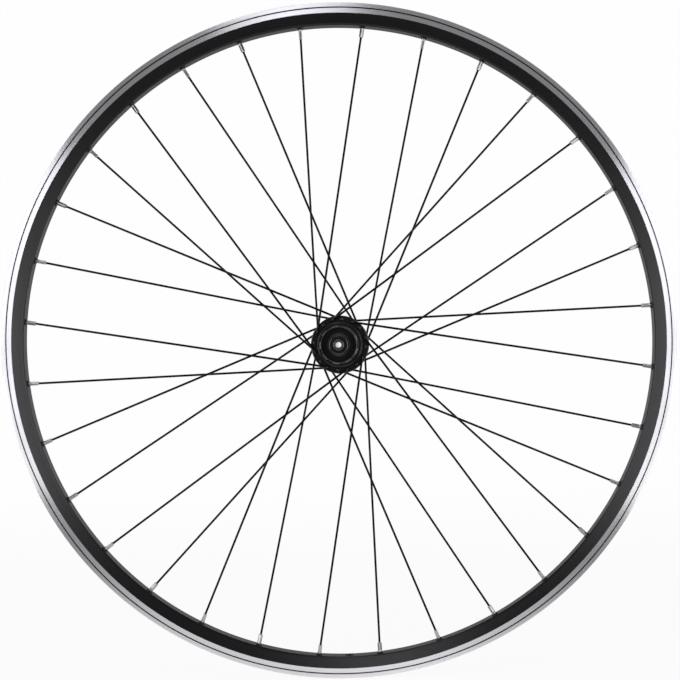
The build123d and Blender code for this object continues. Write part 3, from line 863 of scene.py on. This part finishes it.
@dataclass
class HubShell:
    """Turned hub shell with two drilled flanges, and the left dust cap in its mouth."""

    hole_circle: float = 23.52
    hole: float = 1.3
    holes: int = 16
    flange: float = 27.12
    flange_band: Span = (21.4, 25.6)
    flange_steps: int = 4
    edge_chamfer: float = 0.8
    edge_cut: float = 0.5
    right_faces: Span = (-21.1, -17.9)
    left_faces: Span = (33.9, 37.1)
    right_first: float = 16.875
    left_first: float = 5.625
    flare: float = 17.5
    flare_length: float = 14.0
    waist: float = 15.0
    boss: float = 17.52
    boss_end: float = 45.5
    chamfer: float = 0.6
    seat: float = 14.02
    left_seat: float = 36.0
    right_seat: Span = (-12.0, -20.0)
    bore: float = 11.5
    ratchet_seat: float = 17.82
    collar: float = 20.82
    collar_end: float = -27.6
    dust_cap: tuple[Span, ...] = (
        (7.6, 44.3), (13.98, 44.3), (13.98, 45.2), (12.6, 45.5), (9.2, 45.5), (8.6, 45.1), (7.6, 45.1),
    )
    dust_cut: float = 0.25
    segments: int = 128
    cap_segments: int = 96

    def edge_outline(self, faces: Span) -> np.ndarray:
        """Return the outline over a flange's edge.

        Args:
            faces: The places of the flange's two faces along the axle.

        Returns:
            The rounded outline, from the lower face to the higher one.
        """
        low, high = faces
        top, inner, cut = self.flange - self.edge_chamfer, self.flange_band[1], self.edge_chamfer
        return eased([
            (inner, low), (top, low), (self.flange, low + cut), (self.flange, high - cut), (top, high),
            (inner, high),
        ], self.edge_cut)

    def barrel_outline(self) -> np.ndarray:
        """Return the waist between the flanges, flared towards both.

        Returns:
            The rounded outline of (radius, along) points.
        """
        low, high = self.right_faces[1], self.left_faces[0]
        foot, run = self.flange_band[0], self.flare_length
        return eased([
            (foot, low), (self.flare, low), (self.waist, low + run), (self.waist, high - run),
            (self.flare, high), (foot, high),
        ], [1.6, 5.0, 5.0, 1.6], steps=5)

    def inner_outline(self) -> np.ndarray:
        """Return the left boss, the bearing seats inside and the collar on the drive side.

        Returns:
            The rounded outline of (radius, along) points.
        """
        foot, low, high = self.flange_band[0], self.right_faces[0], self.left_faces[1]
        cut, (seat_floor, seat_mouth) = self.chamfer, self.right_seat
        return eased([
            (foot, high), (self.boss, high), (self.boss, self.boss_end - cut),
            (self.boss - cut, self.boss_end), (self.seat, self.boss_end),
            (self.seat, self.left_seat), (self.bore, self.left_seat),
            (self.bore, seat_floor), (self.seat, seat_floor), (self.seat, seat_mouth),
            (self.ratchet_seat, seat_mouth), (self.ratchet_seat, self.collar_end),
            (self.collar - cut, self.collar_end), (self.collar, self.collar_end + cut), (self.collar, low),
            (foot, low),
        ], [0.5, 0.3, 0.3, 0.3, 0.2, 0.2, 0.2, 0.2, 0.2, 0.2, 0.3, 0.3, 0.3, 0.2])

    def build(self) -> None:
        """Join the outlines and the drilled flange faces, and dress shell and dust cap."""
        surface = Surface()
        for outline in (self.barrel_outline(), self.inner_outline()):
            surface.turned(outline, self.segments)
        for faces, first in ((self.right_faces, self.right_first), (self.left_faces, self.left_first)):
            surface.turned(self.edge_outline(faces), self.segments)
            centres = np.radians(first + np.arange(self.holes) * 360 / self.holes)
            walls = []
            for place in faces:
                disc = Cells(
                    np.pi / self.holes, *self.flange_band, lambda across: across,
                    lambda across, place=place: np.full_like(across, place),
                    self.segments // self.holes, self.flange_steps,
                )
                cells = disc.pierced(centres, self.hole, self.hole_circle)
                surface.grid(cells)
                walls.append(cells[:, 0])
            surface.grid(np.stack(walls, axis=1))
        dressed(surface.built("hub_barrel", [BLACK_HUB]), Body.WHEEL, "hub_alloy", "hub_shell")
        cap = Surface()
        cap.turned(looped(self.dust_cap, self.dust_cut), self.cap_segments)
        dressed(cap.built("dust_ring", [CAP_PLASTIC]), Body.WHEEL, "dust_plastic", "left_dust_cap")
        refinish(GROUND_STEEL, "ratchet_ring", "left_bearing_outer_ring", "right_bearing_outer_ring")


@dataclass
class Freehub:
    """Splined freehub body with a threaded mouth, and the sealed bearing that shows in it."""

    land: float = 17.3
    floor: float = 16.1
    grooves: int = 9
    groove_width: float = 5.6
    wide_groove: float = 8.0
    run_steps: int = 8
    start: float = -29.8
    end: float = -63.8
    chamfer: float = 0.7
    lip: float = 19.8
    lip_face: float = -28.0
    lip_round: float = 0.3
    stop_face: float = 17.7
    carrier: float = 13.9
    carrier_end: float = -20.8
    carrier_bore: float = 9.0
    mouth: float = 15.2
    mouth_floor: float = -56.8
    seat: float = 12.02
    thread_start: float = 0.8
    thread_turns: int = 6
    thread_pitch: float = 1.0
    thread_depth: float = 0.3
    # Depth from the mouth's end that takes the painted highlight.
    highlit_depth: float = 0.2
    sharp: float = 30.0
    bearing_width: float = 6.0
    bearing_ring: Span = (10.4, 12.0)
    ring_cut: float = 0.35
    seal: tuple[Span, ...] = (
        (7.6, 0.3), (7.9, 0.3), (8.2, 0.55), (8.9, 0.55), (9.2, 0.3), (10.45, 0.3), (10.45, 1.1), (7.6, 1.1),
    )
    seal_cut: float = 0.12
    bearing_segments: int = 96

    def spline_columns(self) -> tuple[np.ndarray, np.ndarray]:
        """Work out the splined outline, once round.

        Each groove gives a row of points on its floor, between its shoulders, and the land after it.

        Returns:
            The angle and radius of its points.
        """
        width = np.full(self.grooves, self.groove_width)
        width[0] = self.wide_groove
        middle = 2 * np.pi * np.arange(self.grooves) / self.grooves
        top, foot = np.arcsin(width / 2 / self.land), np.arcsin(width / 2 / self.floor)
        after = np.append(middle[1:], 2 * np.pi)
        land_end = after - np.roll(top, -1)
        share = np.linspace(0, 1, self.run_steps)
        floor_run = (middle - foot)[:, None] + 2 * foot[:, None] * share
        land_run = (middle + top)[:, None] + (land_end - middle - top)[:, None] * share
        angle = np.concatenate([floor_run, land_run], axis=1)
        radius = np.concatenate([0 * floor_run + self.floor, 0 * land_run + self.land], axis=1)
        return angle.reshape(-1), radius.reshape(-1)

    def rows(self) -> np.ndarray:
        """Go down the body: carrier, lip, splines, threaded mouth and bearing seat.

        The thread goes to and fro between its crests and its roots, half a pitch apart.

        Returns:
            The (radius, along) of each row.
        """
        ease, cut = self.lip_round, self.land - self.chamfer
        turns = np.arange(self.thread_turns) * self.thread_pitch + self.end + self.thread_start
        crests = np.stack([np.full_like(turns, self.mouth), turns], axis=1)
        roots = crests + [self.thread_depth, self.thread_pitch / 2]
        return np.vstack([
            (self.carrier_bore, self.start), (self.carrier_bore, self.carrier_end),
            (self.carrier, self.carrier_end), (self.carrier, self.lip_face),
            (self.lip - ease, self.lip_face), (self.lip, self.lip_face - ease),
            (self.lip, self.start + ease), (self.lip - ease, self.start), (self.stop_face, self.start),
            (self.land, self.start), (self.land, self.end + self.chamfer),
            (cut, self.end + 0.08), (cut - 0.1, self.end),
            (self.mouth + 0.5, self.end), (self.mouth + 0.1, self.end + 0.4),
            np.stack([crests, roots], axis=1).reshape(-1, 2),
            (self.mouth, self.mouth_floor), (self.seat, self.mouth_floor),
            (self.seat, self.start), (self.carrier_bore, self.start),
        ])

    def build(self) -> None:
        """Cut the splines where their outline is lower than a row, and dress body and bearing."""
        angle, outline = self.spline_columns()
        rows = self.rows()
        splined = (rows[:, 1] <= self.start) & (rows[:, 0] <= self.land) & (rows[:, 0] > self.floor)
        radius = np.where(splined[:, None], np.minimum(rows[:, :1], outline[None]), rows[:, :1])
        # The mouth's end rows and the stop face take a lighter metal finish as a painted highlight.
        highlit = rows[1:, 1] < self.end + self.highlit_depth
        highlit |= (rows[:-1] == (self.stop_face, self.start)).all(axis=1)
        body = Surface()
        body.grid(polar(radius, angle[None], rows[:, 1:]), finish=np.where(highlit, 1, 0)[:, None])
        piece = body.built("splined_body", [BLACK_OXIDE, HIGHLIT_EDGE], self.sharp)
        dressed(piece, Body.FREEHUB, "freehub_steel", "freehub_body")
        front, back = self.mouth_floor, self.mouth_floor + self.bearing_width
        inner, outer = self.bearing_ring
        ring = looped([(inner, front), (outer, front), (outer, back), (inner, back)], self.ring_cut)
        seal = looped(self.seal, self.seal_cut) + [0, front]
        bearing = Surface()
        for outline, finish in ((ring, 0), (seal, 1), (seal * [1, -1] + [0, front + back], 1)):
            bearing.turned(outline, self.bearing_segments, finish)
        piece = bearing.built("mouth_bearing", [BLACK_OXIDE, SEAL_RUBBER])
        dressed(piece, Body.FREEHUB, "bearing_steel", "freehub_outer_bearing_outer_ring")
        refinish(GROUND_STEEL, "freehub_inner_bearing_outer_ring", "pawls", "pawl_spring")
        refinish(SEAL_RUBBER, "freehub_seal")


@dataclass
class AxleSet:
    """Hollow axle with end caps, bearing inner rings and spacers."""

    axle: float = 6.0
    shoulder: float = 7.5
    shoulder_span: Span = (-12.0, 36.0)
    shaft_cut: float = 0.2
    bore: float = 2.6
    bore_margin: float = 0.01
    axle_end: float = 66.5
    dropout: float = 67.5
    stub: float = 4.95
    stub_end: float = 72.5
    stub_margin: float = 0.1
    face: float = 8.6
    neck: float = 7.2
    neck_length: float = 3.0
    neck_end: float = 3.6
    sleeve: float = 6.02
    right_foot: float = -56.8
    left_foot: float = 44.0
    skirt: float = 10.5
    skirt_start: float = 45.9
    skirt_length: float = 3.0
    skirt_end: float = 6.0
    chamfer: float = 0.6
    end_cuts: tuple[float, ...] = (0.25, 0.25, 0.15, 0.25, 0.25, 0.3, 0.1, 0.1)
    segments: int = 96

    def outer_end(self, side: float) -> list[Span]:
        """Return the corners that both caps share, from the dropout face over the stub to the sleeve.

        Args:
            side: -1 for the drive side, 1 for the left one.

        Returns:
            The (radius, along) of each corner.
        """
        cut = self.chamfer
        ends = [
            (self.face, self.dropout - cut), (self.face - cut, self.dropout), (self.stub, self.dropout),
            (self.stub, self.stub_end - cut), (self.stub - cut, self.stub_end), (self.bore, self.stub_end),
            (self.bore, self.axle_end), (self.sleeve, self.axle_end),
        ]
        return [(radius, side * along) for radius, along in ends]

    def right_cap(self) -> np.ndarray:
        """Return the closed outline of the drive side's end cap."""
        corners = [
            (self.sleeve, self.right_foot), (self.neck, self.right_foot),
            (self.neck, self.right_foot - self.neck_length), (self.face, self.right_foot - self.neck_end),
        ]
        return looped(corners + self.outer_end(-1.0), [0.1, 0.1, 0.2, 0.25, *self.end_cuts])

    def left_cap(self) -> np.ndarray:
        """Return the closed outline of the left end cap with its skirt."""
        corners = [
            (self.sleeve, self.left_foot), (self.neck, self.left_foot), (self.neck, self.skirt_start),
            (self.skirt, self.skirt_start), (self.skirt, self.skirt_start + self.skirt_length),
            (self.face, self.skirt_start + self.skirt_end),
        ]
        return looped(corners + self.outer_end(1.0), [0.1, 0.1, 0.2, 0.4, 0.8, 1.2, *self.end_cuts])

    def shaft(self) -> np.ndarray:
        """Return the closed outline of the hollow axle with its thicker middle."""
        low, high = self.shoulder_span
        corners = [
            (self.bore, -self.axle_end), (self.axle, -self.axle_end), (self.axle, low), (self.shoulder, low),
            (self.shoulder, high), (self.axle, high), (self.axle, self.axle_end), (self.bore, self.axle_end),
        ]
        return looped(corners, self.shaft_cut)

    def cap_strip_finishes(self, outline: np.ndarray) -> np.ndarray:
        """Tell the strips of an outline apart.

        Args:
            outline: The outline's points.

        Returns:
            A column of finishes: 1 in the reamed bore, 2 on bare stubs and painted face-edge highlights, 0
                elsewhere.
        """
        radius, along = (outline[1:] + outline[:-1]).T / 2
        bore = radius < self.bore + self.bore_margin
        stub = (np.abs(along) > self.dropout + self.stub_margin) & ~bore
        # The caps' face edges take the stub's lighter metal as a painted highlight.
        stub |= (np.abs(along) > self.dropout - self.chamfer) & (radius > self.face - self.chamfer)
        return np.where(bore, 1, np.where(stub, 2, 0))[:, None]

    def build(self) -> None:
        """Turn and dress axle and caps, and finish the rings and spacers."""
        for name, outline, finish, slot, node in (
            ("hollow_axle", self.shaft(), TURNED_ALLOY, "axle_alloy", "axle"),
            ("drive_side_cap", self.right_cap(), DARK_CAP, "cap_alloy", "right_end_cap"),
            ("left_side_cap", self.left_cap(), DARK_CAP, "cap_alloy", "left_end_cap"),
        ):
            surface = Surface()
            surface.turned(outline, self.segments, self.cap_strip_finishes(outline))
            dressed(surface.built(name, [finish, REAMED_BORE, DARK_STUB]), Body.AXLE, slot, node)
        refinish(
            GROUND_STEEL, "left_bearing_inner_ring", "right_bearing_inner_ring",
            "freehub_inner_bearing_inner_ring", "freehub_outer_bearing_inner_ring",
        )
        refinish(TURNED_ALLOY, "hub_spacer", "freehub_spacer")


def stood(name: str, data: bpy.types.ID, axes: np.ndarray, place: np.ndarray) -> bpy.types.Object:
    """Stand a lamp or a camera in the scene.

    Args:
        name: The object's name.
        data: The lamp or camera.
        axes: Its own axes, as columns.
        place: Its place, in metres.

    Returns:
        The new object.
    """
    pose = np.eye(4)
    pose[:3, :3], pose[:3, 3] = axes, place
    stand = bpy.data.objects.new(name, data)
    stand.matrix_world = Matrix(pose.tolist())
    bpy.context.scene.collection.objects.link(stand)
    return stand


@dataclass(frozen=True)
class Softbox:
    """A rectangular studio lamp with one edge in a plane through the axle, which ends its streak.

    It faces the wheel's centre from that edge, and reaches from it to larger angles, or to smaller ones
    where its width is negative.
    """

    name: str
    edge: float
    width: float
    watts: float
    length: float = 2.05
    away: float = 1.65
    along: float = -1.37
    tint: Tint = (0.96, 0.96, 1.0)

    def hang(self) -> None:
        """Add the lamp: its axes are the edge's own line, the way round the axle, and away from the wheel."""
        lamp = bpy.data.lights.new(self.name, "AREA")
        lamp.shape = "RECTANGLE"
        lamp.size, lamp.size_y = self.length, abs(self.width)
        lamp.energy = self.watts
        lamp.color = self.tint
        turn = np.radians(self.edge)
        middle = polar(self.away, turn, self.along)
        back, side = unit(middle), polar(1.0, turn + np.pi / 2, 0.0)
        axes = np.stack([np.cross(side, back), side, back], axis=1)
        stood(self.name, lamp, axes, middle + side * self.width / 2).visible_camera = False


@dataclass
class Studio:
    """White sweep of paper in a pale room, softboxes, and the camera of the photograph.

    Spans on the paper are in millimetres along x or y, and wall_fade is in the y of a direction.
    """

    floor: float = -317.3
    sweep_radius: float = 700.0
    sweep_steps: int = 25
    back: float = 3200.0
    front: float = -3200.0
    half_width: float = 4000.0
    height: float = 3000.0
    world: float = 0.10
    wall_fade: Span = (0.0, 0.3)
    wall_shades: Span = (0.14, 1.0)
    white_span: Span = (200.0, 1600.0)
    front_span: Span = (-900.0, -1800.0)
    white_share: Span = (0.94, 0.985)
    front_fade: Span = (400.0, 100.0)
    near_right: Span = (60.0, 380.0)
    near_left: Span = (-180.0, -500.0)
    near_reach: Span = (-260.0, -540.0)
    right_pool: Span = (480.0, 540.0)
    left_pool: Span = (-690.0, -730.0)
    pool_dark: float = 0.26
    pool_near: float = 0.91
    pool_glow: float = 1.8
    paper_roughness: float = 0.9
    paper_specular: float = 0.1
    image: float = 680.0
    sensor: float = 36.0
    camera: tuple[float, float, float] = (31.73, -1200.0, 5.62)
    yaw: float = 0.7334
    pitch: float = 2.7308
    roll: float = 1.5650
    focus_px: float = 1264.81
    centre_px: Span = (51.71, 57.47)
    lamps: tuple[Softbox, ...] = field(default_factory=lambda: (
        Softbox("right_softbox", 31.0, -1.25, 22.0),
        Softbox("left_softbox", 146.0, 1.4, 23.5),
        Softbox("top_right_softbox", 88.0, 0.36, 4.3),
        Softbox("top_left_softbox", 111.0, -0.32, 3.7),
    ))

    def sweep(self) -> None:
        """Lay the paper: a floor that bends by a quarter circle into the backdrop, drawn along x."""
        turn = np.radians(np.linspace(0, 90, self.sweep_steps))
        bend, rise = self.sweep_radius * (1 - np.sin(turn)), self.sweep_radius * (1 - np.cos(turn))
        along = np.concatenate([[self.front], self.back - bend, [self.back]])
        up = np.concatenate([[self.floor], self.floor + rise, [self.height]])
        across = np.array([-self.half_width, self.half_width])
        surface = Surface()
        points = np.broadcast_arrays(across[None], along[:, None], up[:, None])
        surface.grid(np.stack(points, axis=-1), ring=False)
        paper = surface.built("paper_sweep", [])
        paper.data.materials.append(self.paper())

    def paper(self) -> bpy.types.Material:
        """Make white paper that keeps a faint shadow.

        It is white to camera rays. To other rays it shows painted pools of light and shade: white behind the
        wheel, pale under it, dark round that, and bright at both sides, which gives the lower track its
        streaks.

        Returns:
            The material: a mix of paper and glow, by the kind of ray and the place.
        """
        made = bpy.data.materials.new("white_paper")
        graph = Graph(made)
        shader = graph.nodes["Principled BSDF"]
        place = graph.add("SeparateXYZ", {"Vector": graph.add("TexCoord").outputs["Object"]})
        across, along = place.outputs["X"], place.outputs["Y"]
        path = graph.add("LightPath").outputs
        near_shades, pool_shades = (self.pool_near, self.pool_dark), (self.pool_dark, 1.0)
        near = graph.faded(along, self.near_reach, near_shades)
        for span in (self.near_right, self.near_left):
            near = graph.joined("MINIMUM", near, graph.faded(across, span, near_shades))
        pools = [graph.faded(across, span, pool_shades) for span in (self.right_pool, self.left_pool)]
        pool = graph.joined("MAXIMUM", *pools)
        seen = white = path["Is Camera Ray"]
        for other in (near, pool, graph.faded(along, self.front_fade, (1.0, 0.0))):
            white = graph.joined("MAXIMUM", white, other)
        for ray in ("Is Glossy Ray", "Is Transmission Ray"):
            seen = graph.joined("MAXIMUM", seen, path[ray])
        shares = [graph.faded(along, span, self.white_share) for span in (self.white_span, self.front_span)]
        share = graph.joined("MULTIPLY", seen, graph.joined("MAXIMUM", *shares))
        lit = graph.joined("MULTIPLY", pool, path["Is Glossy Ray"])
        strength = graph.spread(lit, UNIT, (1.0, self.pool_glow))
        glow = graph.add("Emission", {"Color": white, "Strength": strength})
        graph.fill(shader, {
            "Base Color": white,
            "Roughness": self.paper_roughness,
            "Specular IOR Level": self.paper_specular,
        })
        mix = graph.add("MixShader", {"Fac": share, 1: shader.outputs["BSDF"], 2: glow.outputs["Emission"]})
        graph.fill(graph.nodes["Material Output"], {"Surface": mix.outputs["Shader"]})
        return made

    def room(self) -> bpy.types.World:
        """Make the room: white to camera rays, and to glossy rays that go behind the wheel, dim elsewhere.

        Returns:
            The world.
        """
        made = bpy.data.worlds.new("studio")
        graph = Graph(made)
        way = graph.add("SeparateXYZ", {"Vector": graph.add("TexCoord").outputs["Generated"]})
        path = graph.add("LightPath").outputs
        gloss = graph.joined("MAXIMUM", path["Is Glossy Ray"], path["Is Transmission Ray"])
        behind = graph.spread(way.outputs["Y"], self.wall_fade, self.wall_shades, "SMOOTHSTEP")
        seen = graph.joined("MAXIMUM", path["Is Camera Ray"], graph.joined("MULTIPLY", gloss, behind))
        graph.fill(graph.nodes["Background"], {
            "Color": (1.0, 1.0, 1.0, 1.0), "Strength": graph.spread(seen, UNIT, (self.world, 1.0)),
        })
        return made

    def look(self) -> None:
        """Place the camera: right, up and back are the rows of roll * pitch * yaw. The lens is shifted."""
        turns = np.radians([self.yaw, self.pitch, self.roll])
        (c, cp, cr), (s, sp, sr) = np.cos(turns), np.sin(turns)
        level, ahead, top = np.array([c, -s, 0.0]), np.array([s, c, 0.0]), np.array([0.0, 0.0, 1.0])
        tilt = sp * ahead + cp * top
        axes = np.stack([cr * level - sr * tilt, sr * level + cr * tilt, sp * top - cp * ahead], axis=1)
        lens = bpy.data.cameras.new("camera")
        lens.sensor_width = self.sensor
        lens.lens = self.focus_px * self.sensor / self.image
        lens.shift_x = -self.centre_px[0] / self.image
        lens.shift_y = self.centre_px[1] / self.image
        bpy.context.scene.camera = stood("camera", lens, axes, np.array(self.camera) * MM)

    def build(self) -> None:
        """Set up paper, lamps, world and camera."""
        self.sweep()
        for lamp in self.lamps:
            lamp.hang()
        scene = bpy.context.scene
        scene.world = self.room()
        scene.view_settings.view_transform = "Standard"
        self.look()


def corners(box: tuple[Vector, Vector]) -> list[list[float]]:
    """Return a box as plain lists of numbers."""
    return [[float(value) for value in corner] for corner in box]


def main() -> None:
    """Build every sub-assembly in order."""
    logging.basicConfig(level=logging.INFO, format="%(name)s: %(message)s")
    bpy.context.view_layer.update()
    for assembly in (Rim(), Lacing(), HubShell(), Freehub(), AxleSet(), Studio()):
        LOG.info("building %s", type(assembly).__name__)
        assembly.build()


if __name__ == "__main__":
    main()
